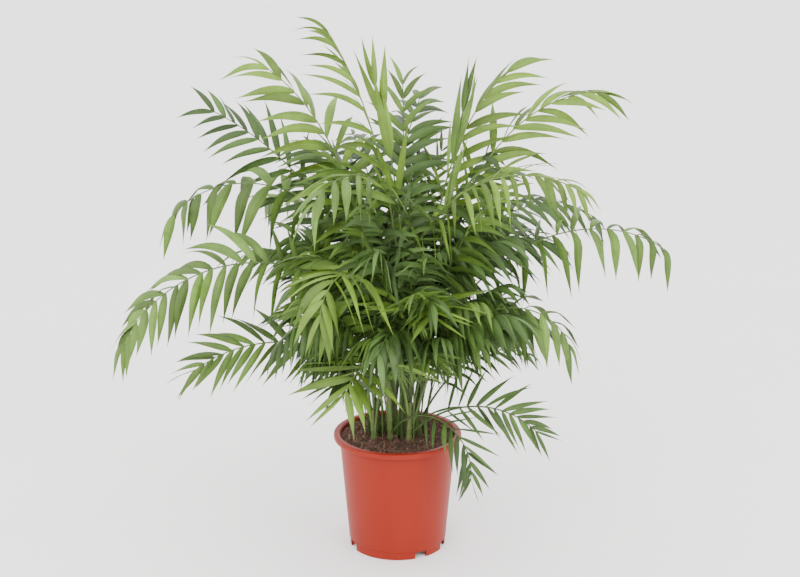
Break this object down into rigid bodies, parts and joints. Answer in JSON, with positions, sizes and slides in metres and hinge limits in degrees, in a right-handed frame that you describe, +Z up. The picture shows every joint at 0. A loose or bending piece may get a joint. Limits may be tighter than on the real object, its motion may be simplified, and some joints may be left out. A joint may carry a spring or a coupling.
{
  "type": "potted parlour palm",
  "caption": "Bushy potted palm: arching feather-shaped fronds on slender green canes, in a round tapered terracotta-coloured plastic nursery pot with a lipped rim.",
  "frame": {"origin": "centre of the pot's flat underside, which stands on the floor", "axes": "+Z up along the pot's axis, -Y towards the camera of the picture, +X to its right"},
  "size_m": [1.0263, 0.7672, 0.9814],
  "materials": {
    "pot": "satin moulded plastic",
    "soil": "coarse bark and peat mix",
    "cane": "smooth ringed green cane",
    "leaf_fresh": "thin satin leaf, fresh green",
    "leaf_mid": "thin satin leaf, mid green",
    "leaf_deep": "thin satin leaf, deep green"
  },
  "bodies": {
    "root": {"pot": "pot", "soil": "soil", "cane_1": "cane", "cane_2": "cane", "cane_3": "cane", "cane_4": "cane", "cane_5": "cane", "cane_6": "cane", "cane_7": "cane", "cane_8": "cane", "cane_9": "cane", "frond_left_sweep": "leaf_mid", "frond_left_middle": "leaf_mid", "frond_left_high_back": "leaf_deep", "frond_left_high": "leaf_fresh", "frond_top_left": "leaf_fresh", "frond_top_spear": "leaf_fresh", "frond_top_back": "leaf_mid", "frond_top_right_spear": "leaf_mid", "frond_top_right": "leaf_fresh", "frond_right_high": "leaf_fresh", "frond_right_front_arch": "leaf_fresh", "frond_right_arch": "leaf_mid", "frond_right_middle": "leaf_mid", "frond_right_low_back": "leaf_deep", "frond_right_low": "leaf_deep", "frond_over_rim": "leaf_deep", "frond_left_low": "leaf_mid", "frond_right_back": "leaf_deep", "frond_front_fan": "leaf_fresh", "frond_front_left_low": "leaf_fresh", "frond_front_left_arch": "leaf_fresh", "frond_centre_left": "leaf_mid", "frond_fill_01": "leaf_deep", "frond_fill_02": "leaf_mid", "frond_fill_03": "leaf_deep", "frond_fill_04": "leaf_deep", "frond_fill_05": "leaf_deep", "frond_fill_06": "leaf_deep", "frond_fill_07": "leaf_mid", "frond_fill_08": "leaf_deep", "frond_fill_09": "leaf_mid", "frond_fill_10": "leaf_deep", "frond_fill_11": "leaf_deep", "frond_fill_12": "leaf_mid", "frond_fill_13": "leaf_deep", "frond_fill_14": "leaf_deep", "frond_fill_15": "leaf_deep", "frond_fill_16": "leaf_deep", "frond_fill_17": "leaf_deep", "frond_fill_18": "leaf_mid", "frond_fill_19": "leaf_deep", "frond_fill_20": "leaf_deep", "frond_fill_21": "leaf_deep", "frond_fill_22": "leaf_deep", "frond_fill_23": "leaf_deep", "frond_fill_24": "leaf_mid", "frond_fill_25": "leaf_mid", "frond_fill_26": "leaf_deep", "frond_fill_27": "leaf_mid"}
  },
  "joints": []
}
